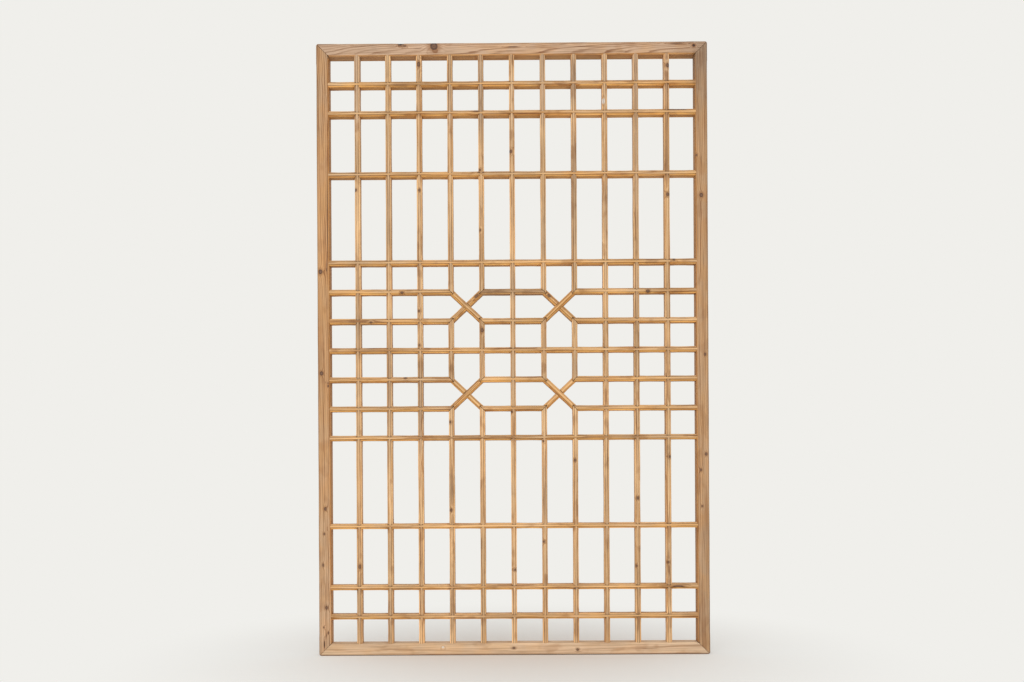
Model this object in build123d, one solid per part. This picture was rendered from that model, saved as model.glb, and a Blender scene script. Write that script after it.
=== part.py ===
from build123d import *
import math
import os

# A lattice panel of moulded bars in a mortised frame, standing upright on its bottom rail.
# Millimetres, +X right as seen from the front, +Y to the back, +Z up.
# The origin is in the middle of the bottom edge, half way through the thickness.

# Overall sizes
panel_width = 1015.0
panel_height = 1590.0
frame_depth = 35.0

# Frame members: two stiles and two rails of one section
member_face = 31.5
inner_round = 5.0
mitre_layer = 12.0
corner_tenon_thickness = 11.0
corner_relish = 9.0

# Lattice bars: a flat crest between two bevels
bar_width = 14.0
bar_depth = 27.0
crest_width = 4.5
bevel_drop = 3.5
bar_setback = 1.0

# Stub tenons that hold the bars in the frame
stub_thickness = 6.0
stub_depth = 14.0
stub_length = 15.0
stub_setback = 8.0

# Layout: even columns, and rows that mirror about the middle row, which sits a little low
column_count = 11
middle_row_drop = 2.0
row_pitch = 76.0
middle_row_pitches = 3
second_pitch = 159.0
edge_pitch = 76.0
edge_margin = 71.0

# Pairs of columns and rows, counted from the left and the top, that stop at each other's
# corners and leave a cell between them for two crossed diagonals
crossed_columns = ((3, 4), (6, 7))
crossed_rows = ((4, 5), (7, 8))

# Clearance between the two faces of a joint
joint_gap = 0.1

# How far a cutting shape runs past the surface that it leaves through
overrun = 1.0

# Places across the thickness
front_face = -frame_depth / 2
back_face = frame_depth / 2
mitre_back = front_face + mitre_layer
corner_tenon_back = mitre_back + corner_tenon_thickness
bar_front = front_face + bar_setback
bar_back = bar_front + bar_depth
lap_plane = bar_front + bar_depth / 2
stub_front = bar_front + stub_setback
stub_back = stub_front + stub_depth

# Places across the face
half_width = panel_width / 2
half_bar = bar_width / 2
half_crest = crest_width / 2
inner_x = half_width - member_face
inner_bottom = member_face
inner_top = panel_height - member_face

# Centre lines of the columns from the left, with equal clear widths between them
clear_width = (2 * inner_x - column_count * bar_width) / (column_count + 1)
column_pitch = clear_width + bar_width
columns = [(i - (column_count - 1) / 2) * column_pitch for i in range(column_count)]

# Centre lines of the rows from the top: the tall cells take up what the other pitches leave
middle_rows = [row_pitch] * middle_row_pitches
other_pitches = sum(middle_rows) + second_pitch + edge_pitch + edge_margin
tall_pitch = panel_height / 2 - member_face - other_pitches
pitches_up = middle_rows + [tall_pitch, second_pitch, edge_pitch]
heights_up = [sum(pitches_up[:i]) for i in range(1, len(pitches_up) + 1)]
offsets = heights_up[::-1] + [0.0] + [-height for height in heights_up]
middle_row = panel_height / 2 - middle_row_drop
rows = [middle_row + offset for offset in offsets]


def slab(outline, front, back):
    """Solid with a straight-sided outline in the plane of the panel, between two depths."""
    face = make_face(Polyline(*outline, close=True))
    return extrude(Plane.XZ.offset(-back) * face, amount=back - front)


def block(x_ends, y_ends, z_ends):
    """Square-edged block between two values along each axis, given in either order."""
    low = [min(ends) for ends in (x_ends, y_ends, z_ends)]
    size = [max(ends) - min(ends) for ends in (x_ends, y_ends, z_ends)]
    return Pos(*low) * Box(*size, align=(Align.MIN, Align.MIN, Align.MIN))


# Frame


def member_section(clearance=0.0):
    """Section of a frame member from its inner face outwards, rounded over at its inner front edge."""
    width = member_face + 2 * clearance
    depth = frame_depth + 2 * clearance
    section = Pos(-clearance, 0) * Rectangle(width, depth, align=(Align.MIN, Align.CENTER))
    inner_front = section.vertices().sort_by(lambda corner: corner.X + corner.Y)[0]
    return fillet(inner_front, inner_round + clearance)


def frame_stock(start, outwards, along, length):
    """Length of frame moulding, its inner face at start and its width growing outwards from there."""
    seat = Plane(origin=start, x_dir=outwards, z_dir=along)
    return extrude(seat * member_section(), amount=length)


def stub_mortise(place, inner_face, outwards):
    """Blind mortise for the stub tenon of a bar that lies along X at the height of place."""
    side = stub_thickness / 2 + joint_gap
    return block(
        (inner_face - outwards * overrun, inner_face + outwards * (stub_length + joint_gap)),
        (stub_front - joint_gap, stub_back + joint_gap),
        (place - side, place + side),
    )


def stile_end_cuts(end, inwards):
    """Mitred rebate on the face and through mortise for the rail, at one end of the right stile."""
    leg = member_face + joint_gap + overrun
    rebate = [
        (inner_x - overrun, end - inwards * overrun),
        (inner_x + leg, end - inwards * overrun),
        (inner_x - overrun, end + inwards * leg),
    ]
    mortise = block(
        (inner_x - overrun, half_width + overrun),
        (mitre_back - joint_gap, corner_tenon_back + joint_gap),
        (end + inwards * (corner_relish - joint_gap), end + inwards * (member_face + joint_gap)),
    )
    return [slab(rebate, front_face - overrun, mitre_back + joint_gap), mortise]


def right_stile():
    """Full-height stile with a blind mortise for every crossbar."""
    stock = frame_stock((inner_x, 0, 0), (1, 0, 0), (0, 0, 1), panel_height)
    cuts = stile_end_cuts(0.0, 1) + stile_end_cuts(panel_height, -1)
    cuts += [stub_mortise(row, inner_x, 1) for row in rows]
    return stock - cuts


def rail_end_cuts(side):
    """Waste beyond the mitre on the face, and all that lies behind the face, at one end of a rail."""
    face_waste = [
        (side * (inner_x - overrun), member_face + overrun),
        (side * (half_width + overrun), member_face + overrun),
        (side * (half_width + overrun), -overrun),
    ]
    behind = block(
        (side * (inner_x - joint_gap), side * (half_width + overrun)),
        (mitre_back, back_face + overrun),
        (-overrun, member_face + overrun),
    )
    return [slab(face_waste, front_face - overrun, mitre_back), behind]


def rail_tenon(side):
    """Through tenon behind the mitre, as long as the stile is wide."""
    return block(
        (side * (inner_x - overrun), side * half_width),
        (mitre_back, corner_tenon_back),
        (corner_relish, member_face),
    )


def bottom_rail():
    """Rail with its mitres and through tenons, and a blind mortise for every upright."""
    stock = frame_stock((-half_width, 0, inner_bottom), (0, 0, -1), (1, 0, 0), panel_width)
    cuts = rail_end_cuts(-1) + rail_end_cuts(1)
    # The bar that this mortise is drawn for lies along X, so it is turned to look down
    downward = Rot(0, 90, 0) * stub_mortise(0.0, 0.0, 1)
    cuts += [Pos(column, 0, inner_bottom) * downward for column in columns]
    return stock - cuts + [rail_tenon(-1), rail_tenon(1)]


# Lattice bars, each drawn along X about Z = 0 and then turned into place


def bar_stock(low, high):
    """Length of lattice moulding with a flat crest, a bevel on each side and a square back."""
    shoulder = bar_front + bevel_drop
    outline = [
        (bar_front, -half_crest),
        (bar_front, half_crest),
        (shoulder, half_bar),
        (bar_back, half_bar),
        (bar_back, -half_bar),
        (shoulder, -half_bar),
    ]
    section = make_face(Polyline(*outline, close=True))
    return extrude(Plane.YZ.offset(low) * section, amount=high - low)


def front_bar_crossing(place):
    """Cuts in the front bar of a crossing: half its depth from the back, and a mitred notch on
    each edge of its face, which leaves a neck as wide as its crest."""
    half_lap = half_bar + joint_gap
    lap = block(
        (place - half_lap, place + half_lap),
        (lap_plane - joint_gap, bar_back + overrun),
        (-half_bar - overrun, half_bar + overrun),
    )
    mouth = half_bar + overrun
    cuts = [lap]
    for edge in (1, -1):
        notch = [
            (place - half_crest - joint_gap, edge * half_crest),
            (place + half_crest + joint_gap, edge * half_crest),
            (place + mouth + joint_gap, edge * mouth),
            (place - mouth - joint_gap, edge * mouth),
        ]
        cuts.append(slab(notch, bar_front - overrun, lap_plane))
    return cuts


def back_bar_crossing(place):
    """Cut in the back bar of a crossing: its front half but for two mitred tips, which fill the
    notches of the front bar and carry the bevels up to its crest."""
    mouth = half_bar + overrun
    bow_tie = [
        (place - mouth, mouth),
        (place - half_crest, half_crest),
        (place - half_crest, -half_crest),
        (place - mouth, -mouth),
        (place + mouth, -mouth),
        (place + half_crest, -half_crest),
        (place + half_crest, half_crest),
        (place + mouth, mouth),
    ]
    return [slab(bow_tie, bar_front - overrun, lap_plane)]


def corner_mitre(place, outwards, partner_side, gap):
    """Face half cut away beyond the mitre, where a bar turns a corner with a bar at right angles
    that stands on one side of it."""
    reach = half_bar + overrun
    across = partner_side
    waste = [
        (place - outwards * (reach + gap), across * reach),
        (place + outwards * reach, across * reach),
        (place + outwards * reach, -across * (reach + gap)),
    ]
    return slab(waste, bar_front - overrun, lap_plane)


def corner_back_waste(place, outwards):
    """Back half cut away at a corner, to make room for the tongue of the bar that it meets."""
    return block(
        (place - outwards * (half_bar + joint_gap), place + outwards * (half_bar + overrun)),
        (lap_plane - joint_gap, bar_back + overrun),
        (-half_bar - overrun, half_bar + overrun),
    )


def scribed_shoulder(place, outwards):
    """Waste at a bar's end that leaves its shoulder fitting round the frame's rounded edge."""
    waste = Pos(0, 0, -bar_width) * extrude(member_section(joint_gap), amount=2 * bar_width)
    if outwards < 0:
        waste = mirror(waste, about=Plane.YZ)
    return Pos(place, 0, 0) * waste


def stub_tenon(place, outwards):
    """Stub tenon that grows from a shoulder at place."""
    return block(
        (place - outwards * (joint_gap + overrun), place + outwards * stub_length),
        (stub_front, stub_back),
        (-stub_thickness / 2, stub_thickness / 2),
    )


def lattice_bar(ends, crossings, runs_in_front):
    """One bar along X. Each end is its place and the side on which the bar that it mitres with
    stands, or 0 where it goes into the frame. The front bars keep their backs as tongues."""
    (low, low_partner), (high, high_partner) = ends
    low_reach = half_bar if low_partner else inner_round
    high_reach = half_bar if high_partner else inner_round
    cuts = []
    tenons = []
    for place, partner, outwards in ((low, low_partner, -1), (high, high_partner, 1)):
        if not partner:
            cuts.append(scribed_shoulder(place, outwards))
            tenons.append(stub_tenon(place, outwards))
        elif runs_in_front:
            cuts.append(corner_mitre(place, outwards, partner, joint_gap))
        else:
            cuts.append(corner_mitre(place, outwards, partner, 0.0))
            cuts.append(corner_back_waste(place, outwards))
    for place in crossings:
        cuts += front_bar_crossing(place) if runs_in_front else back_bar_crossing(place)
    bar = bar_stock(low - low_reach, high + high_reach) - cuts
    return bar + tenons if tenons else bar


def spans(count, pairs):
    """Runs of a bar broken at each pair of lines: the line that each run starts at, the line that
    it stops at, and the lines that it crosses on the way. None stands for the frame."""
    starts = [None] + [second for first, second in pairs]
    stops = [first for first, second in pairs] + [None]
    runs = []
    for start, stop in zip(starts, stops):
        after = 0 if start is None else start + 1
        before = count if stop is None else stop
        runs.append((start, stop, range(after, before)))
    return runs


def crossbars():
    """Horizontal bars by name: whole ones, and three shorter ones in each row that is crossed."""
    upper_rows = [upper for upper, lower in crossed_rows]
    lower_rows = [lower for upper, lower in crossed_rows]
    bars = {}
    for row, height in enumerate(rows):
        name = f"crossbar_{row + 1:02d}"
        if row not in upper_rows + lower_rows:
            ends = ((-inner_x, 0), (inner_x, 0))
            bars[name] = Pos(0, 0, height) * lattice_bar(ends, columns, True)
            continue
        # The uprights that this row turns into stand above an upper row and below a lower one
        partner = 1 if row in upper_rows else -1
        for side, run in zip(("left", "middle", "right"), spans(column_count, crossed_columns)):
            start, stop, between = run
            low = (-inner_x, 0) if start is None else (columns[start], partner)
            high = (inner_x, 0) if stop is None else (columns[stop], partner)
            bar = lattice_bar((low, high), [columns[i] for i in between], True)
            bars[f"{name}_{side}"] = Pos(0, 0, height) * bar
    return bars


def uprights():
    """Vertical bars by name: whole ones, and three shorter ones in each column that is crossed."""
    left_columns = [left for left, right in crossed_columns]
    right_columns = [right for left, right in crossed_columns]
    # Turned upright, a bar's +X points up and its +Z points to the left
    upright = Rot(0, -90, 0)
    bars = {}
    for column, place in enumerate(columns):
        name = f"upright_{column + 1:02d}"
        if column not in left_columns + right_columns:
            ends = ((inner_bottom, 0), (inner_top, 0))
            bars[name] = Pos(place, 0, 0) * upright * lattice_bar(ends, rows, False)
            continue
        # The crossbars that this column turns into lie left of a left column, right of a right one
        partner = 1 if column in left_columns else -1
        for part, run in zip(("top", "middle", "bottom"), spans(len(rows), crossed_rows)):
            start, stop, between = run
            high = (inner_top, 0) if start is None else (rows[start], partner)
            low = (inner_bottom, 0) if stop is None else (rows[stop], partner)
            bar = lattice_bar((low, high), [rows[i] for i in between], False)
            bars[f"{name}_{part}"] = Pos(place, 0, 0) * upright * bar
    return bars


# Crossed diagonals


def birdsmouth(corner_x, corner_z, inwards_x, inwards_z):
    """Square notch in a diagonal's end, which sits on the outer corner of two mitred bars."""
    reach = half_bar + joint_gap
    return block(
        (corner_x - inwards_x * bar_width, corner_x + inwards_x * reach),
        (bar_front - overrun, bar_back + overrun),
        (corner_z - inwards_z * bar_width, corner_z + inwards_z * reach),
    )


def diagonal(cell, falls, runs_in_front):
    """One diagonal of a cell, falling or rising to the right, halved over or under the other."""
    left, right, top, bottom = cell
    centre = Pos((left + right) / 2, 0, (top + bottom) / 2)
    slope = math.degrees(math.atan2(top - bottom, right - left))
    turn = slope if falls else -slope
    half_length = math.hypot(right - left, top - bottom) / 2
    lap_side = half_bar + joint_gap
    lap_ends = (lap_plane - joint_gap, bar_back + overrun)
    if not runs_in_front:
        lap_ends = (bar_front - overrun, lap_plane)
    lap = block((-bar_width, bar_width), lap_ends, (-lap_side, lap_side))
    stock = centre * Rot(0, turn, 0) * bar_stock(-half_length, half_length)
    cuts = [centre * Rot(0, -turn, 0) * lap]
    left_z, right_z = (top, bottom) if falls else (bottom, top)
    downwards = -1 if falls else 1
    cuts.append(birdsmouth(left, left_z, 1, downwards))
    cuts.append(birdsmouth(right, right_z, -1, -downwards))
    return stock - cuts


def diagonals():
    """The two diagonals of each crossed cell, by name. The one in front alternates by cell."""
    bars = {}
    for row, (upper, lower) in enumerate(crossed_rows):
        for column, (left, right) in enumerate(crossed_columns):
            cell = (columns[left], columns[right], rows[upper], rows[lower])
            front_falls = (row + column) % 2 == 0
            name = f"diagonal_{('upper', 'lower')[row]}_{('left', 'right')[column]}"
            bars[f"{name}_front"] = diagonal(cell, front_falls, True)
            bars[f"{name}_back"] = diagonal(cell, not front_falls, False)
    return bars


# The whole panel: a left stile and a top rail that mirror their partners, and every bar
stile = right_stile()
rail = bottom_rail()
mid_height = Plane.XY.offset(panel_height / 2)
pieces = {
    "right_stile": stile,
    "left_stile": mirror(stile, about=Plane.YZ),
    "bottom_rail": rail,
    "top_rail": mirror(rail, about=mid_height),
}
pieces.update(crossbars())
pieces.update(uprights())
pieces.update(diagonals())

os.makedirs("parts", exist_ok=True)
for name, piece in pieces.items():
    export_step(piece, f"parts/{name}.step")
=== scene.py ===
import math
import random

import bmesh
import bpy
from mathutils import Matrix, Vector, noise


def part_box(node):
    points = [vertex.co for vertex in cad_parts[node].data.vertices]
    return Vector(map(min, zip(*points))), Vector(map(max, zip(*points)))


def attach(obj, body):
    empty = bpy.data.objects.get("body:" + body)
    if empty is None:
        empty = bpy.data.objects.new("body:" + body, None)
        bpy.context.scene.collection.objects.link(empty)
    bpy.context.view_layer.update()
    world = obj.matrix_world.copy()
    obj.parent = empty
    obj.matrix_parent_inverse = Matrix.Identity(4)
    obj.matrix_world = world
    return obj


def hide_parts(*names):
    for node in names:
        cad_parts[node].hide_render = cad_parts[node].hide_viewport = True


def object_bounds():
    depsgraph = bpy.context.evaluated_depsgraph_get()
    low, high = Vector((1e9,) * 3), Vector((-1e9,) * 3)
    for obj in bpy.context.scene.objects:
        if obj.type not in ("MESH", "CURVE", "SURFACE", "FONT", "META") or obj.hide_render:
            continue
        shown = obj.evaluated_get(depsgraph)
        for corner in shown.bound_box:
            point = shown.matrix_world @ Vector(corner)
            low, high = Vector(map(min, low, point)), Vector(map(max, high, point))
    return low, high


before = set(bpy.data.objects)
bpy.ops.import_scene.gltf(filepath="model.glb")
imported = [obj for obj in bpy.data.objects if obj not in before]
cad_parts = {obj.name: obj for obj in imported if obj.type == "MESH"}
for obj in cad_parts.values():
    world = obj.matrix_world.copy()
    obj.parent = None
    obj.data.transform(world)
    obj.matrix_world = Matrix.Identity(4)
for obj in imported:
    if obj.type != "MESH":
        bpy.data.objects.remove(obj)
cad_low, cad_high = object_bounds()

# Stiles
# The two full-height sides of the frame, of old fir, planed square and rounded over along the
# inner front edge. Each is mitred on its face and mortised for the rails and the crossbars. The
# face is greyed by weather, most of all near the top, and the rounded edge has stayed golden.
panel_half, panel_top = cad_high.x, cad_high.z
frame_front, frame_back = cad_low.y, cad_high.y
face_half = (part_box("right_stile")[1].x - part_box("right_stile")[0].x) / 2
grain_step = 0.009
frame_arris = 0.0009
frame_mitre_gap = 0.0004
eased_radius = 0.006

# Each mark on a stick: its place along it, its place off the centre line, half its length and half
# its width, and how dark it is. One darker than 1.2 is a crack or a hole, without a knot's pale
# heart, and one below 0 is a pale spot.
left_stile_marks = [
    (0.998, 0.0070, 0.0056, 0.0048, 1.0),
    (1.130, -0.0112, 0.1100, 0.0006, 1.3),
    (0.734, 0.0060, 0.0046, 0.0038, 1.0),
    (0.701, -0.0110, 0.0032, 0.0026, 0.8),
    (0.382, -0.0020, 0.0046, 0.0032, 0.9),
    (0.317, 0.0010, 0.0036, 0.0025, 0.8),
    (0.236, 0.0042, 0.0044, 0.0024, 0.8),
    (0.125, -0.0035, 0.0050, 0.0036, 0.8),
    (0.074, 0.0035, 0.0026, 0.0020, 0.9),
    (0.060, -0.0085, 0.0030, 0.0020, 0.9),
    (0.030, 0.0025, 0.0100, 0.0013, 1.3),
]
right_stile_marks = [
    (1.295, -0.0130, 0.0034, 0.0026, 0.7),
    (1.191, -0.0010, 0.0052, 0.0044, 1.0),
    (0.778, 0.0060, 0.0040, 0.0030, 0.9),
    (0.519, 0.0080, 0.0044, 0.0034, 0.9),
    (0.478, -0.0060, 0.0040, 0.0030, 0.8),
    (0.384, -0.0030, 0.0034, 0.0026, 0.7),
]

# How each stick changes along it: a place, how light it is there, and how golden rather than grey
left_stile_tones = [
    (0.05, 0.24, -0.5), (0.35, 0.14, 0.1), (0.75, -0.10, 0.7), (1.20, 0.00, 0.9), (1.50, -0.15, 0.1),
]
right_stile_tones = [
    (0.05, -0.20, -0.2), (0.55, -0.10, 0.2), (1.30, -0.20, 0.3), (1.42, -0.40, 0.0), (1.55, -0.65, -0.7),
]


def stick_shape(node):
    """A new mesh with the stick's own shape, its flat faces made whole again."""
    shape = bmesh.new()
    shape.from_mesh(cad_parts[node].data)
    weld = 2e-6
    flat = math.radians(0.5)
    bmesh.ops.remove_doubles(shape, verts=shape.verts, dist=weld)
    bmesh.ops.dissolve_limit(shape, angle_limit=flat, verts=shape.verts, edges=shape.edges)
    return shape


def round_arrises(shape, radius, chosen):
    """Rounds the sharp outside edges that chosen(middle, direction) picks, as handling does."""
    least_angle = math.radians(20)
    least_length = 0.002
    picked = []
    for edge in shape.edges:
        ends = edge.verts[0].co, edge.verts[1].co
        run = ends[1] - ends[0]
        if len(edge.link_faces) != 2 or run.length < least_length:
            continue
        middle = (ends[0] + ends[1]) / 2
        if edge.calc_face_angle_signed() > least_angle and chosen(middle, run.normalized()):
            picked.append(edge)
    bmesh.ops.bevel(
        shape, geom=picked, offset=radius, offset_type="OFFSET", segments=2, profile=0.5,
        affect="EDGES", clamp_overlap=False, loop_slide=True,
    )


def with_corners(faces):
    """The faces with their corners and edges, each once, as a cut takes them."""
    corners = dict.fromkeys(v for f in faces for v in f.verts)
    edges = dict.fromkeys(e for f in faces for e in f.edges)
    return [*corners, *edges, *faces]


def cut_across(shape, along, step, extra=()):
    """Cuts the long faces across the stick, so that its edges can wander as a planed edge does."""
    stations = sorted({round(v.co.dot(along), 5) for v in shape.verts})
    cuts = list(extra)
    for low, high in zip(stations, stations[1:]):
        if high - low > step:
            parts = math.ceil((high - low) / step)
            cuts += [low + (high - low) * i / parts for i in range(parts)]
    ahead = list(shape.faces)
    for at in sorted(cuts):
        bmesh.ops.bisect_plane(
            shape, geom=with_corners(ahead), dist=1e-6, plane_co=along * at, plane_no=along
        )
        passed = at + 1e-5
        ahead = [f for f in shape.faces if max(v.co.dot(along) for v in f.verts) > passed]


def cut_along(shape, across, places, behind=math.inf):
    """Cuts the faces in front of the depth behind along a stick, at places across it."""
    for place in places:
        faces = [f for f in shape.faces if f.calc_center_median().y < behind]
        bmesh.ops.bisect_plane(
            shape, geom=with_corners(faces), dist=1e-6, plane_co=across * place, plane_no=across
        )


def open_mitres(shape, corners, along, reach, behind, gap):
    """Draws the mitred ends back from the corners, as shrinkage does, which leaves a dark line.
    It moves only what lies in front of the depth behind, and fades out beside the mitre."""
    runs = [v.co.dot(along) for v in shape.verts]
    middle = (min(runs) + max(runs)) / 2
    spread = 0.0012
    for vertex in shape.verts:
        for corner_x, corner_z in corners:
            off_x, off_z = abs(vertex.co.x - corner_x), abs(vertex.co.z - corner_z)
            aside = abs(off_x - off_z)
            if max(off_x, off_z) < reach and vertex.co.y < behind and aside < spread:
                end = Vector((corner_x, 0, corner_z)).dot(along)
                vertex.co += along * math.copysign(gap, middle - end) * (1 - aside / spread)


def between(stations, place):
    """The tone and the warmth at a place along a stick, eased between the stations round it."""
    before = [s for s in stations if s[0] <= place] or stations[:1]
    after = [s for s in stations if s[0] > place] or stations[-1:]
    low, high = before[-1], after[0]
    share = (place - low[0]) / (high[0] - low[0]) if high[0] > low[0] else 0.0
    return [a + (b - a) * share for a, b in zip(low[1:], high[1:])]


def stick_piece(name, shape, along, across, centre, finish, heart, marks, tones, deep_lean=0.0):
    """Makes the shape the piece that stands for its node, and writes on it where its grain, marks
    and tones run. The heart of the log lies off the stick's centre line by heart. A mark is fainter
    behind than on the face."""
    mesh = bpy.data.meshes.new(name)
    shape.to_mesh(mesh)
    shape.free()
    draw = random.Random(name)
    start = draw.uniform(0, 40)
    side_lean = draw.uniform(-0.012, 0.012)
    mark_reach = 3.2
    no_mark = (9.0, 9.0, 0.0)
    share_behind = 0.4
    crease = math.radians(38)
    grain, nearest, character = [], [], []
    for vertex in mesh.vertices:
        run, side = vertex.co.dot(along), vertex.co.dot(across) - centre
        grain += [run + start, side - heart[0] + side_lean * run, vertex.co.y - heart[1] + deep_lean * run]
        found = no_mark
        through = share_behind if vertex.co.y > 0.0 else 1.0
        for mark_run, mark_side, half_length, half_width, strength in marks:
            offset = (run - mark_run) / half_length, (side - mark_side) / half_width
            away = math.hypot(*offset)
            if away < math.hypot(*found[:2]):
                found = (*offset, strength * through if away < mark_reach else 0.0)
        nearest += found
        character += [*between(tones, run), side]
    for label, values in (("grain", grain), ("mark", nearest), ("stick", character)):
        layer = mesh.attributes.new(label, "FLOAT_VECTOR", "POINT")
        layer.data.foreach_set("vector", values)
    mesh.materials.append(finish)
    mesh.shade_smooth()
    mesh.set_sharp_from_angle(angle=crease)
    piece = bpy.data.objects.new(name + "_wood", mesh)
    bpy.context.scene.collection.objects.link(piece)
    shading = piece.modifiers.new("even shading", "WEIGHTED_NORMAL")
    shading.keep_sharp = True
    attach(piece, "root")
    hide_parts(name)


def tint(red, green, blue):
    """A colour as a screen shows it, in parts of 255, for a shader."""
    parts = [c / 255 for c in (red, green, blue)]
    return (*[c / 12.92 if c <= 0.04045 else ((c + 0.055) / 1.055) ** 2.4 for c in parts], 1.0)


def wood(name, golden, worn, dusty, front, ring, lines, weathered, wander=0.010, stained=0.30,
         quirk=None, outer_edge=None, painted_edge_shade=0.0):
    """Old fir: growth rings round the heart of the log, fibres, knots, cracks, small checks, a greyed front,
    dusty upper slopes, painted shade on the sides set back from the front and along an outer edge, and dirt
    with painted shade in the corners. A quirk is a scratched line beside a crest."""
    finish = bpy.data.materials.new(name)
    finish.use_nodes = True
    tree = finish.node_tree
    shader = tree.nodes["Principled BSDF"]

    def add(kind, inputs=None, **settings):
        made = tree.nodes.new("ShaderNode" + kind)
        for key, value in settings.items():
            setattr(made, key, value)
        for key, value in (inputs or {}).items():
            if isinstance(value, bpy.types.NodeSocket):
                tree.links.new(value, made.inputs[key])
            else:
                made.inputs[key].default_value = value
        return made

    def work(operation, *values):
        return add("Math", dict(enumerate(values)), operation=operation).outputs[0]

    def times(*values):
        product = values[0]
        for value in values[1:]:
            product = work("MULTIPLY", product, value)
        return product

    def plus(one, other):
        return work("ADD", one, other)

    def less(one, other):
        return work("SUBTRACT", one, other)

    def stretch(vector, along, across):
        return add("VectorMath", {0: vector, 1: (along, across, across)}, operation="MULTIPLY").outputs[0]

    def cloud(vector, detail=2.0):
        return add("TexNoise", {"Vector": vector, "Scale": 1.0, "Detail": detail, "Roughness": 0.55})

    def rise(value, low, high):
        inputs = {"Value": value, "From Min": low, "From Max": high}
        return add("MapRange", inputs, interpolation_type="SMOOTHSTEP").outputs[0]

    def blend(factor, one, other, way="MIX"):
        return add("Mix", {0: factor, 6: one, 7: other}, data_type="RGBA", blend_type=way).outputs[2]

    def parts(vector):
        return add("SeparateXYZ", {0: vector}).outputs

    grain = add("Attribute", attribute_name="grain").outputs["Vector"]
    mark_along, mark_aside, mark_strength = parts(add("Attribute", attribute_name="mark").outputs["Vector"])
    tone, warmth, aside = parts(add("Attribute", attribute_name="stick").outputs["Vector"])
    depth = parts(add("TexCoord").outputs["Object"])[1]
    upwards_facing = parts(add("NewGeometry").outputs["Normal"])[2]

    # Distance from the heart of the log, pushed out round the marks, gives the growth rings
    mark_away = work("SQRT", plus(times(mark_along, mark_along), times(mark_aside, mark_aside)))
    bell_base = 2.718
    swell = work("POWER", bell_base, times(mark_away, mark_away, -0.22))
    run, side, deep = parts(grain)
    drift = parts(cloud(stretch(grain, 2.6, 9.0)).outputs["Color"])
    side = plus(side, times(less(drift[0], 0.5), wander))
    deep = plus(deep, times(less(drift[1], 0.5), wander))
    waver = parts(cloud(stretch(grain, 15.0, 22.0), 1.0).outputs["Color"])
    side = plus(side, times(less(waver[0], 0.5), wander * 0.40))
    deep = plus(deep, times(less(waver[1], 0.5), wander * 0.10))
    radius = work("SQRT", plus(times(side, side), times(deep, deep)))
    radius = less(radius, times(swell, mark_strength, 0.0045))
    ripple = cloud(stretch(grain, 9.0, 260.0), 3.0).outputs[0]
    radius = plus(radius, times(less(ripple, 0.5), ring * 0.35))
    years = work("DIVIDE", radius, ring)
    season = work("FRACT", years)
    year = add("TexWhiteNoise", {"W": work("FLOOR", years)}, noise_dimensions="1D").outputs["Value"]
    latewood = times(rise(season, 0.50, 0.88), less(1.0, rise(season, 0.93, 1.0)))
    latewood = times(latewood, plus(0.30, times(year, 0.70)))

    fibres = cloud(stretch(grain, 30.0, 1500.0), 3.0).outputs[0]
    streaks = cloud(stretch(grain, 5.0, 330.0)).outputs[0]
    patches = cloud(stretch(grain, 11.0, 40.0), 3.0).outputs[0]
    stain, bloom, _ = parts(cloud(stretch(grain, 17.0, 33.0)).outputs["Color"])

    # Golden wood with painted shade on the sides and undersides set back from the front, greyed on the front
    # by weather, and dusty on the upper slopes
    deeper = blend(1.0, golden, tint(226, 208, 184), "MULTIPLY")
    colour = blend(times(rise(patches, 0.40, 0.62), 0.5), golden, deeper)
    # Painted shade: surfaces more than 4.5 mm behind the front are darkened towards brown, as the sides and
    # undersides fall in shade
    colour = blend(times(rise(depth, front + 0.0045, front + 0.0110), 0.30), colour, tint(140, 98, 56))
    shown = rise(depth, front + 0.0016, front + 0.0002)
    grey = plus(weathered - 0.2, times(rise(bloom, 0.35, 0.65), 0.4))
    grey = times(shown, grey, less(1.0, times(warmth, 0.55)))
    colour = blend(work("MINIMUM", grey, 1.0), colour, worn)
    colour = blend(times(rise(warmth, 0.0, -1.0), 0.45), colour, tint(170, 146, 126))
    dust = times(rise(upwards_facing, 0.15, 0.60), plus(0.55, times(rise(bloom, 0.35, 0.65), 0.35)))
    colour = blend(dust, colour, dusty)
    colour = blend(times(rise(stain, 0.56, 0.68), stained), colour, tint(146, 100, 60))

    # Late wood and streaks darken it in lines, and every stick has its own tone
    darker = plus(times(latewood, lines), times(rise(streaks, 0.47, 0.66), 0.42))
    between_lines = (1.16, 1.18, 1.20, 1.0)
    darker = blend(work("MINIMUM", darker, 1.0), between_lines, tint(182, 150, 120))
    colour = blend(1.0, colour, darker, "MULTIPLY")
    bright = plus(0.93, times(fibres, 0.22))
    bright = times(bright, plus(0.86, times(patches, 0.34)))
    bright = times(bright, plus(1.0, times(tone, 0.55)))
    bright = times(bright, plus(1.0, times(rise(streaks, 0.46, 0.30), 0.14)))
    bright = add("CombineXYZ", {0: bright, 1: bright, 2: bright}).outputs[0]
    colour = blend(1.0, colour, bright, "MULTIPLY")
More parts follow.
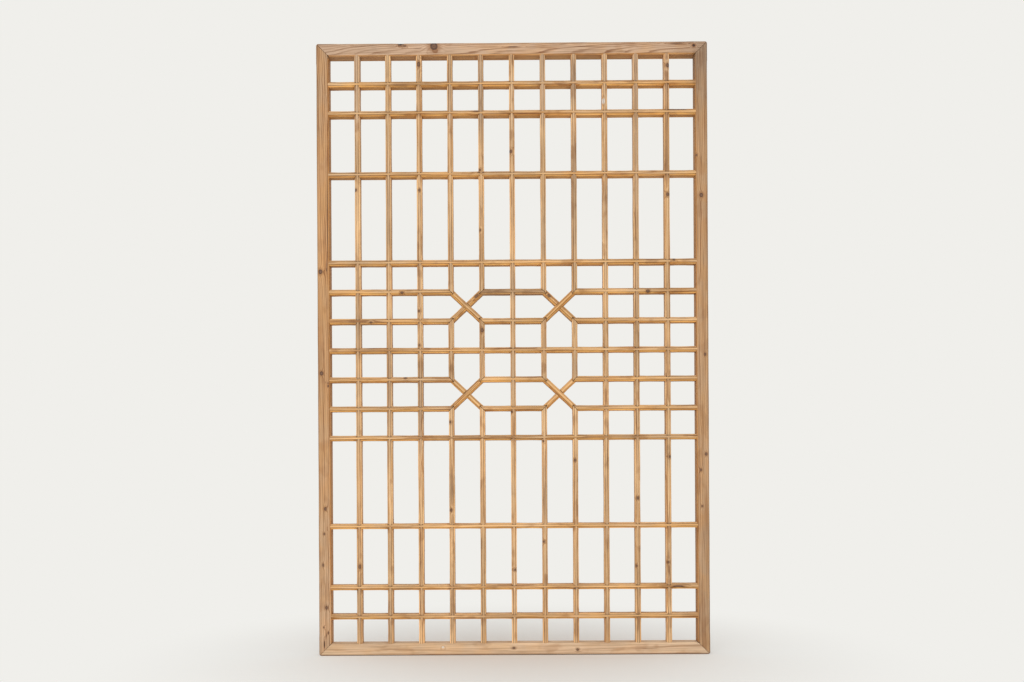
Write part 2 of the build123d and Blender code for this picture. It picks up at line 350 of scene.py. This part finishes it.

    # Knots with a dark rim and a paler heart, cracks, pale spots, checks along the grain, the line beside a
    # crest, painted shade along an outer edge, and dirt with painted shade in the corners
    ragged = plus(mark_away, times(less(patches, 0.5), 0.9))
    halo = times(rise(ragged, 2.6, 1.0), mark_strength, 0.55)
    colour = blend(halo, colour, tint(140, 92, 54))
    core = times(rise(ragged, 1.20, 0.80), mark_strength)
    colour = blend(work("MINIMUM", core, 1.0), colour, tint(70, 50, 42))
    core_rings = rise(work("SINE", times(plus(mark_away, patches), 15.0)), 0.0, 0.8)
    knot_heart = times(core, rise(mark_away, 0.85, 0.55), plus(0.50, times(core_rings, 0.40)))
    knot_heart = times(knot_heart, rise(mark_strength, 1.2, 1.1))
    colour = blend(knot_heart, colour, tint(144, 108, 84))
    splash = times(rise(ragged, 1.3, 0.7), mark_strength, -1.0)
    colour = blend(splash, colour, tint(222, 216, 208))
    check = rise(cloud(stretch(grain, 9.0, 430.0), 1.0).outputs[0], 0.685, 0.735)
    colour = blend(times(check, 0.60), colour, tint(104, 70, 46))
    if quirk:
        off_quirk = work("ABSOLUTE", less(work("ABSOLUTE", aside), quirk))
        line = times(rise(off_quirk, 0.0008, 0.0002), rise(depth, front + 0.0028, front + 0.0020))
        line = times(line, plus(0.35, times(rise(bloom, 0.30, 0.60), 0.45)))
        colour = blend(line, colour, tint(104, 76, 52))
    # Painted shade: a dark band along an outer edge, strongest on the bottom rail where it meets the floor
    if outer_edge:
        edge = times(rise(aside, outer_edge - 0.0046, outer_edge - 0.0012), painted_edge_shade)
        colour = blend(edge, colour, tint(96, 66, 44))
    # Painted shade with dirt: ambient occlusion darkens corners, crevices and the gaps between parts towards
    # dark brown
    open_air = add("AmbientOcclusion", {"Distance": 0.006}, samples=8).outputs["AO"]
    crevice_dirt_and_shade = times(rise(open_air, 0.66, 0.12), 0.85)
    colour = blend(crevice_dirt_and_shade, colour, tint(92, 64, 42))
    tree.links.new(colour, shader.inputs["Base Color"])

    dull = less(plus(0.60, times(fibres, 0.22)), times(latewood, 0.10))
    tree.links.new(plus(dull, times(crevice_dirt_and_shade, 0.2)), shader.inputs["Roughness"])
    shader.inputs["Specular IOR Level"].default_value = 0.30

    relief = plus(times(latewood, 0.45), times(fibres, 0.55))
    relief = less(less(relief, times(check, 1.2)), times(core, 0.5))
    bump = add("Bump", {"Height": relief, "Strength": 0.55, "Distance": 0.0004})
    tree.links.new(bump.outputs[0], shader.inputs["Normal"])
    return finish


stile_wood = wood(
    "stile fir", golden=tint(194, 144, 89), worn=tint(178, 145, 112), dusty=tint(186, 156, 124),
    front=frame_front, ring=0.0036, lines=0.80, weathered=0.80, wander=0.015,
    outer_edge=face_half, painted_edge_shade=0.35,
)


def frame_edges(middle, direction):
    """The edges on the face and the back of a frame member, whichever way they run."""
    return middle.y < frame_front + 0.0006 or middle.y > frame_back - 0.0005


stile_centre = panel_half - face_half
frame_corners = [(x, z) for x in (-stile_centre, stile_centre) for z in (face_half, panel_top - face_half)]
corner_cuts = [0.0015, 0.0030, 0.0045, 0.0060]
face_cuts = [-0.0105, -0.0055, 0.0, 0.0055] + [face_half - cut for cut in corner_cuts]
outer_rim = 0.0015
mitre_back = -0.0054


def ease_corners(shape):
    """Rounds the outer corners of the frame, where it has been stood and knocked."""
    for vertex in shape.verts:
        top = vertex.co.z > panel_top / 2
        from_side = panel_half - abs(vertex.co.x)
        from_end = panel_top - vertex.co.z if top else vertex.co.z
        if from_side < eased_radius and from_end < eased_radius:
            reach = math.hypot(eased_radius - from_side, eased_radius - from_end)
            if reach > eased_radius:
                pull = eased_radius / reach
                side = panel_half - eased_radius + (eased_radius - from_side) * pull
                end = eased_radius - (eased_radius - from_end) * pull
                vertex.co.x = math.copysign(side, vertex.co.x)
                vertex.co.z = panel_top - end if top else end


def wander_outside(shape, along, across, centre, length):
    """Lets the outer side of a frame member wander by up to 0.7 mm, clear of its ends."""
    end_clear, deepest_wear = 0.05, 0.0007
    for vertex in shape.verts:
        run = vertex.co.dot(along)
        out = vertex.co.dot(across) - centre
        if out > face_half - outer_rim and length[0] + end_clear < run < length[1] - end_clear:
            wear = 0.5 + 0.5 * noise.noise(Vector((run * 9, centre * 40, vertex.co.y * 60)))
            vertex.co -= across * deepest_wear * wear


def frame_member(name, along, across, centre, length, extra_cuts=()):
    """The shape of a stile or rail, with worn edges, eased corners and mitres a little open."""
    shape = stick_shape(name)
    round_arrises(shape, frame_arris, frame_edges)
    ends = [length[0] + cut for cut in corner_cuts] + [length[1] - cut for cut in corner_cuts]
    cut_across(shape, along, grain_step, ends + list(extra_cuts))
    cut_along(shape, across, [centre + cut for cut in face_cuts])
    open_mitres(shape, frame_corners, along, face_half + outer_rim, mitre_back, frame_mitre_gap)
    wander_outside(shape, along, across, centre, length)
    ease_corners(shape)
    return shape


upwards, rightwards = Vector((0, 0, 1)), Vector((1, 0, 0))
for side_name, outwards, marks, tones in (
    ("left_stile", -rightwards, left_stile_marks, left_stile_tones),
    ("right_stile", rightwards, right_stile_marks, right_stile_tones),
):
    shape = frame_member(side_name, upwards, outwards, stile_centre, (0.0, panel_top))
    stick_piece(
        side_name, shape, upwards, outwards, stile_centre, stile_wood,
        heart=(-0.055, 0.030), marks=marks, tones=tones,
    )

# Top rail
# The head of the frame, of the same moulding laid flat-sawn, so that its rings show as long
# arches. It has a big tight knot left of the middle, a nick beside it and one old nail hole.
top_rail_centre = panel_top - face_half
top_rail_marks = [
    (-0.201, 0.0072, 0.0102, 0.0090, 1.14),
    (-0.290, 0.0120, 0.0044, 0.0034, 0.9),
    (-0.277, 0.0085, 0.0040, 0.0022, 0.8),
    (0.004, 0.0050, 0.0120, 0.0007, 1.3),
    (0.473, 0.0052, 0.0034, 0.0032, 1.5),
    (0.430, 0.0110, 0.0160, 0.0008, 1.3),
]
top_rail_tones = [
    (-0.50, -0.10, -0.4), (-0.20, 0.0, -0.3), (0.00, 0.05, 0.1), (0.20, -0.05, 0.0), (0.42, 0.05, 0.1),
    (0.49, -0.45, -0.3),
]
top_rail_wood = wood(
    "top rail fir", golden=tint(200, 152, 98), worn=tint(184, 153, 126), dusty=tint(182, 155, 128),
    front=frame_front, ring=0.0021, lines=0.85, weathered=0.95,
    outer_edge=face_half, painted_edge_shade=0.20,
)
nick_place, nick_half, nick_depth, nick_back = -0.287, 0.008, 0.0022, 0.004
nick_cuts = (nick_place - nick_half / 2, nick_place, nick_place + nick_half / 2)
shape = frame_member("top_rail", rightwards, upwards, top_rail_centre, (-panel_half, panel_half), nick_cuts)
for vertex in shape.verts:
    away = abs(vertex.co.x - nick_place) / nick_half
    if away < 1 and vertex.co.z > panel_top - outer_rim and vertex.co.y < nick_back:
        vertex.co.z -= nick_depth * (1 - away ** 2)
stick_piece(
    "top_rail", shape, rightwards, upwards, top_rail_centre, top_rail_wood,
    heart=(-0.011, 0.022), marks=top_rail_marks, tones=top_rail_tones, deep_lean=0.026,
)

# Bottom rail
# The sill of the frame, the palest piece, with faint straight grain. It stands on its lower edge, along
# which a dark band is painted as the shade where it meets the floor.
bottom_rail_marks = [
    (-0.002, -0.0025, 0.0040, 0.0030, 0.8),
    (-0.186, -0.0055, 0.0034, 0.0028, -0.9),
    (0.163, 0.0025, 0.0040, 0.0036, 0.9),
]
bottom_rail_tones = [(-0.50, -0.05, 0.0), (-0.20, 0.0, 0.0), (0.10, 0.12, -0.4), (0.50, 0.10, -0.5)]
bottom_rail_wood = wood(
    "bottom rail fir", golden=tint(208, 168, 122), worn=tint(200, 170, 138), dusty=tint(206, 180, 150),
    front=frame_front, ring=0.0036, lines=0.40, weathered=0.80,
    outer_edge=face_half, painted_edge_shade=0.75,
)
shape = frame_member("bottom_rail", rightwards, -upwards, -face_half, (-panel_half, panel_half))
stick_piece(
    "bottom_rail", shape, rightwards, -upwards, -face_half, bottom_rail_wood,
    heart=(-0.020, 0.050), marks=bottom_rail_marks, tones=bottom_rail_tones,
)

# Crossbars
# Slim moulded bars from stile to stile, in front at every crossing. Each has a flat crest between
# two bevels with a line scratched beside it, and is notched for the uprights and held by stub
# tenons. The lower bevels are golden and the upper ones dusty. Four are broken in three.
bar_front, bar_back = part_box("crossbar_01")[0].y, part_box("crossbar_01")[1].y
bevel_foot = -0.0130
bar_arris = 0.0005
half_bar, half_crest = 0.0070, 0.00225
quirk_place, quirk_half, quirk_depth = half_crest + 0.0011, 0.0005, 0.0005
lap_plane = (bar_front + bar_back) / 2
cell_mitre_gap, cell_mitre_reach = 0.0006, 0.009
broken_rows, broken_columns = (5, 6, 8, 9), (4, 5, 7, 8)


def centre_line(kind, number, first_part, broken):
    """The middle of the box of a bar, or of the first of its three parts where it is broken."""
    low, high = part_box(f"{kind}_{number:02d}" + (first_part if number in broken else ""))
    return (low + high) / 2


row_places = [centre_line("crossbar", n, "_left", broken_rows).z for n in range(1, 14)]
column_places = [centre_line("upright", n, "_top", broken_columns).x for n in range(1, 12)]
cell_corners = [(column_places[c - 1], row_places[r - 1]) for c in broken_columns for r in broken_rows]
inner_side = panel_half - 2 * face_half
crossbar_wood = wood(
    "crossbar fir", golden=tint(218, 164, 94), worn=tint(204, 166, 122), dusty=tint(202, 165, 124),
    front=bar_front, ring=0.0034, lines=0.65, weathered=0.80, stained=0.42, quirk=quirk_place,
)
crossbar_marks = {
    2: [(-0.092, 0.0035, 0.0100, 0.0022, 0.9), (0.428, 0.0050, 0.0240, 0.0020, 0.7)],
    3: [(-0.080, 0.0040, 0.0080, 0.0025, 0.7)],
    4: [(0.419, 0.0030, 0.0040, 0.0030, 0.8)],
    5: [(-0.288, -0.0020, 0.0036, 0.0028, 0.9), (0.351, -0.0020, 0.0044, 0.0034, 1.0)],
    6: [(-0.369, -0.0030, 0.0032, 0.0024, 0.8)],
    8: [(-0.280, 0.0040, 0.0036, 0.0026, 0.9)],
    12: [(0.425, 0.0000, 0.0130, 0.0018, 1.0), (0.162, -0.0040, 0.0060, 0.0022, 0.9)],
}


def bar_edges(along, mitred):
    """The crest, side and back edges of a bar, and the edges of its mitred ends where it has them."""
    def chosen(middle, direction):
        outside = middle.y < bevel_foot + 0.0004 or middle.y > bar_back - 0.0004
        return outside and (mitred or abs(direction.dot(along)) > 0.98)
    return chosen


def scratch_quirks(shape, across, centre):
    """Scratches a fine line down each side of the crest, as the moulding iron did."""
    lines = [side * (quirk_place + edge) for side in (-1, 1) for edge in (-quirk_half, 0.0, quirk_half)]
    cut_along(shape, across, [centre + line for line in lines], behind=bevel_foot)
    for vertex in shape.verts:
        off_line = abs(abs(vertex.co.dot(across) - centre) - quirk_place)
        if off_line < 1e-5 and vertex.co.y < bevel_foot - 0.0010:
            vertex.co.y += quirk_depth


def plane_by_hand(shape, along, across, centre, joints, seed):
    """Lets the crest and the sides of a bar wander between its joints, as off a hand plane."""
    clear, fade = 0.011, 0.014
    crest_sway, side_sway, face_dip = 0.0013, 0.0006, 0.0004
    for vertex in shape.verts:
        run = vertex.co.dot(along)
        away = min(abs(run - joint) for joint in joints)
        ease = min(max((away - clear) / fade, 0.0), 1.0)
        if ease == 0.0:
            continue
        side = vertex.co.dot(across) - centre
        if vertex.co.y < bar_front + 0.0020 and abs(side) < quirk_place + 0.0008:
            sway = noise.noise(Vector((run * 16, seed * 3.7, 2.0 if side > 0 else 7.0)))
            vertex.co += across * ease * crest_sway * sway
        elif abs(side) > half_bar - 0.0008:
            sway = noise.noise(Vector((run * 11, seed * 5.1, 4.0 if side > 0 else 9.0)))
            vertex.co += across * ease * side_sway * (sway - 0.35 * math.copysign(1, side))
        dip = noise.noise(Vector((run * 13, seed * 2.3, 1.0)))
        if vertex.co.y < 0:
            vertex.co.y += ease * face_dip * (0.6 + dip)


def bar_shape(name, along, across, centre, mitred, corners, joints, seed):
    """The shape of a moulded bar, with worn edges, scratched lines and its mitres a little open."""
    shape = stick_shape(name)
    round_arrises(shape, bar_arris, bar_edges(along, mitred))
    scratch_quirks(shape, across, centre)
    cut_across(shape, along, grain_step)
    open_mitres(shape, corners, along, cell_mitre_reach, lap_plane, cell_mitre_gap)
    plane_by_hand(shape, along, across, centre, joints, seed)
    return shape


def drawn_tones(draw, low, high, tone, warmth):
    """Tones at stations along a bar, drawn at random, so that it changes as real wood does."""
    apart = 0.10
    count = max(2, round((high - low) / apart))
    places = [low + (high - low) * i / (count - 1) for i in range(count)]
    return [
        (place, tone + draw.uniform(-0.35, 0.20), warmth + draw.uniform(-0.60, 0.60))
        for place in places
    ]


# The crossbars below the tenth are painted paler, as the light thrown up from the floor makes them, and the
# middle of the fifth has turned mauve grey
bar_joints = [-inner_side] + column_places + [inner_side]
for number, height in enumerate(row_places, 1):
    broken = number in broken_rows
    corners = cell_corners if broken else []
    for part in ("_left", "_middle", "_right") if broken else ("",):
        name = f"crossbar_{number:02d}{part}"
        draw = random.Random(name)
        shape = bar_shape(name, rightwards, upwards, height, broken, corners, bar_joints, number)
        # Painted light: the bars below the tenth are made paler for the light thrown up from the floor
        tone, warmth = (0.15 if number > 10 else 0.0), 0.1
        if name == "crossbar_05_middle":
            tone, warmth = -0.2, -0.9
        tones = drawn_tones(draw, -0.5, 0.5, tone, warmth)
        stick_piece(
            name, shape, rightwards, upwards, height, crossbar_wood,
            heart=(draw.uniform(-0.03, 0.03), draw.uniform(0.01, 0.05)),
            marks=crossbar_marks.get(number, []), tones=tones,
        )

# Uprights
# The same moulded bars from rail to rail, behind at every crossing, where each keeps two mitred tips that
# fill the notches of the bar in front. Their crests are greyer than the crossbars', and their bevels are
# painted a lighter golden, as the light from the sides makes them.
# Painted light: the golden of the bevels is lighter than the crossbars', for the light falling on them from
# the sides
upright_wood = wood(
    "upright fir", golden=tint(228, 186, 136), worn=tint(192, 158, 120), dusty=tint(206, 168, 126),
    front=bar_front, ring=0.0034, lines=0.70, weathered=0.85, stained=0.45, quirk=quirk_place,
)
upright_marks = {
    1: [(1.210, -0.0040, 0.0036, 0.0028, 0.9), (0.231, 0.0010, 0.0060, 0.0032, 0.7)],
    3: [(1.536, 0.0000, 0.0060, 0.0036, 1.0), (1.209, 0.0000, 0.0036, 0.0026, 0.8),
        (0.895, -0.0020, 0.0036, 0.0028, 0.8), (0.806, -0.0020, 0.0032, 0.0024, 0.7)],
    4: [(0.606, -0.0030, 0.0036, 0.0026, 0.8), (0.377, -0.0020, 0.0040, 0.0030, 0.9)],
    5: [(1.260, -0.0030, 0.0034, 0.0026, 0.9), (1.104, -0.0030, 0.0036, 0.0026, 0.8),
        (0.844, 0.0000, 0.0056, 0.0046, 0.9)],
    6: [(1.308, -0.0030, 0.0046, 0.0038, 1.0), (0.631, -0.0040, 0.0034, 0.0026, 0.8),
        (0.221, 0.0020, 0.0036, 0.0030, 0.7)],
    7: [(0.555, -0.0030, 0.0034, 0.0026, 0.8), (0.294, -0.0030, 0.0036, 0.0030, 0.8)],
    8: [(0.505, -0.0020, 0.0036, 0.0030, 0.8), (0.173, -0.0030, 0.0036, 0.0028, 0.7)],
    9: [(1.437, -0.0032, 0.0075, 0.0034, -0.9)],
    10: [(0.406, 0.0000, 0.0042, 0.0034, 0.8), (0.230, -0.0040, 0.0034, 0.0026, 0.8)],
    11: [(1.529, 0.0030, 0.0050, 0.0040, 0.9), (1.194, 0.0010, 0.0050, 0.0040, 0.9),
         (0.513, 0.0030, 0.0036, 0.0030, 0.8), (0.239, -0.0020, 0.0036, 0.0030, 0.7)],
}

# Each is painted paler towards its foot, as the light thrown up from the floor makes it, and is greyer
# towards its head
upright_joints = [2 * face_half] + row_places + [panel_top - 2 * face_half]
first_upright_seed = 20
for number, place in enumerate(column_places, 1):
    broken = number in broken_columns
    corners = cell_corners if broken else []
    seed = first_upright_seed + number
    for part in ("_top", "_middle", "_bottom") if broken else ("",):
        name = f"upright_{number:02d}{part}"
        draw = random.Random(name)
        shape = bar_shape(name, upwards, rightwards, place, broken, corners, upright_joints, seed)
        # Painted light: the tone rises towards the foot for the light thrown up from the floor
        tones = [
            (run, tone + 0.18 * max(0.0, 1 - run / 0.7), warmth - 0.5 * max(0.0, run - 1.25) / 0.3)
            for run, tone, warmth in drawn_tones(draw, 0.0, 1.6, -0.05, 0.0)
        ]
        stick_piece(
            name, shape, upwards, rightwards, place, upright_wood,
            heart=(draw.uniform(-0.03, 0.03), draw.uniform(0.01, 0.05)),
            marks=upright_marks.get(number, []), tones=tones,
        )

# Diagonals
# Eight short bars of the same moulding, two crossed in each of the four cells, the front one whole and the
# back one halved under it. Their ends are cut as bird's mouths over the mitred corners, where dark marks
# paint the shade in the pits beside the corners.
diagonal_marks = {
    "diagonal_upper_left_back": [(0.0360, 0.0010, 0.0050, 0.0034, 0.8)],
    "diagonal_upper_right_back": [(-0.0370, 0.0010, 0.0056, 0.0036, 0.9)],
}
for level, (upper_row, lower_row) in (("upper", broken_rows[:2]), ("lower", broken_rows[2:])):
    for hand, (left_column, right_column) in (("left", broken_columns[:2]), ("right", broken_columns[2:])):
        low_corner = Vector((column_places[left_column - 1], 0, row_places[lower_row - 1]))
        high_corner = Vector((column_places[right_column - 1], 0, row_places[upper_row - 1]))
        middle, span = (low_corner + high_corner) / 2, high_corner - low_corner
        for layer in ("front", "back"):
            name = f"diagonal_{level}_{hand}_{layer}"
            draw = random.Random(name)
            falling = (level + hand in ("upperleft", "lowerright")) == (layer == "front")
            slope = Vector((span.x, 0, -span.z if falling else span.z)).normalized()
            normal = Vector((-slope.z, 0, slope.x))
            centre, halfway = middle.dot(normal), middle.dot(slope)
            joints = [halfway - span.length / 2, halfway, halfway + span.length / 2]
            shape = bar_shape(name, slope, normal, centre, True, [], joints, draw.uniform(10, 30))
            # Painted shade: a dark mark at each end, for the shaded pit where the diagonal's crest meets the
            # corner
            pit_shade_marks = [(end * span.length / 2, 0.0, 0.0050, 0.0056, draw.uniform(0.4, 1.0)) for end in (-1, 1)]
            marks = [
                (halfway + run, side, half_length, half_width, strength)
                for run, side, half_length, half_width, strength in diagonal_marks.get(name, []) + pit_shade_marks
            ]
            stick_piece(
                name, shape, slope, normal, centre, crossbar_wood,
                heart=(draw.uniform(-0.03, 0.03), draw.uniform(0.01, 0.05)), marks=marks,
                tones=drawn_tones(draw, halfway - 0.06, halfway + 0.06, 0.0, 0.35),
            )

# Floor and light
# A plain pale floor that fades into a plain pale background, one large soft lamp behind and above
# the camera and a little to its left, and even light from all round.
pale = tint(240, 239, 235)
bpy.ops.mesh.primitive_circle_add(vertices=96, radius=9.0, fill_type="NGON", location=(0, 0, 0))
floor = bpy.context.object
floor.name = "floor"
floor_paint = bpy.data.materials.new("pale floor")
floor_paint.use_nodes = True
nodes, links = floor_paint.node_tree.nodes, floor_paint.node_tree.links
matt = nodes["Principled BSDF"]
matt.inputs["Base Color"].default_value = tint(244, 243, 240)
matt.inputs["Roughness"].default_value = 0.9
glow = nodes.new("ShaderNodeEmission")
glow.inputs["Color"].default_value = pale
path = nodes.new("ShaderNodeLightPath")
spot = nodes.new("ShaderNodeTexCoord")
distance = nodes.new("ShaderNodeVectorMath")
distance.operation = "LENGTH"
fade = nodes.new("ShaderNodeMapRange")
fade.interpolation_type = "SMOOTHSTEP"
fade.inputs["From Min"].default_value = 0.1
fade.inputs["From Max"].default_value = 1.1
seen = nodes.new("ShaderNodeMath")
seen.operation = "MULTIPLY"
mixed = nodes.new("ShaderNodeMixShader")
links.new(spot.outputs["Object"], distance.inputs[0])
links.new(distance.outputs["Value"], fade.inputs["Value"])
links.new(fade.outputs[0], seen.inputs[0])
links.new(path.outputs["Is Camera Ray"], seen.inputs[1])
links.new(seen.outputs[0], mixed.inputs[0])
links.new(matt.outputs[0], mixed.inputs[1])
links.new(glow.outputs[0], mixed.inputs[2])
links.new(mixed.outputs[0], nodes["Material Output"].inputs["Surface"])
floor.data.materials.append(floor_paint)

sky = bpy.data.worlds.new("even light")
bpy.context.scene.world = sky
sky.use_nodes = True
nodes, links = sky.node_tree.nodes, sky.node_tree.links
even = nodes["Background"]
even.inputs["Color"].default_value = (1.0, 0.99, 0.97, 1.0)
even.inputs["Strength"].default_value = 0.66
backdrop = nodes.new("ShaderNodeBackground")
backdrop.inputs["Color"].default_value = pale
path = nodes.new("ShaderNodeLightPath")
either = nodes.new("ShaderNodeMath")
either.operation = "MAXIMUM"
any_of = nodes.new("ShaderNodeMath")
any_of.operation = "MAXIMUM"
mixed = nodes.new("ShaderNodeMixShader")
links.new(path.outputs["Is Camera Ray"], either.inputs[0])
links.new(path.outputs["Is Glossy Ray"], either.inputs[1])
links.new(either.outputs[0], any_of.inputs[0])
links.new(path.outputs["Is Transmission Ray"], any_of.inputs[1])
links.new(any_of.outputs[0], mixed.inputs[0])
links.new(even.outputs[0], mixed.inputs[1])
links.new(backdrop.outputs[0], mixed.inputs[2])
links.new(mixed.outputs[0], nodes["World Output"].inputs["Surface"])

lamp_data = bpy.data.lights.new("soft lamp", "AREA")
lamp_data.shape = "RECTANGLE"
lamp_data.size, lamp_data.size_y = 3.0, 1.8
lamp_data.energy = 50
lamp_data.color = (1.0, 0.99, 0.97)
lamp = bpy.data.objects.new("soft lamp", lamp_data)
lamp.location = (-0.4, -3.4, 1.7)
lamp.rotation_euler = (Vector((0, 0, 0.65)) - lamp.location).to_track_quat("-Z", "Y").to_euler()
bpy.context.scene.collection.objects.link(lamp)

# Camera
# A level camera 2.6 m in front, low down, with the picture slid up the panel, and turned a third
# of a degree as it was held.
camera_data = bpy.data.cameras.new("camera")
picture_width, sight_length, slid_up = 1024, 1000, 135.2
camera_data.sensor_width = 36.0
camera_data.lens = camera_data.sensor_width * sight_length / picture_width
camera_data.shift_y = slid_up / picture_width
camera = bpy.data.objects.new("camera", camera_data)
camera.location = (0.0060, -2.6133, 0.4643)
camera.rotation_euler = (math.radians(90), math.radians(0.315), math.radians(0.231))
bpy.context.scene.collection.objects.link(camera)
bpy.context.scene.camera = camera
bpy.context.scene.view_settings.view_transform = "Standard"
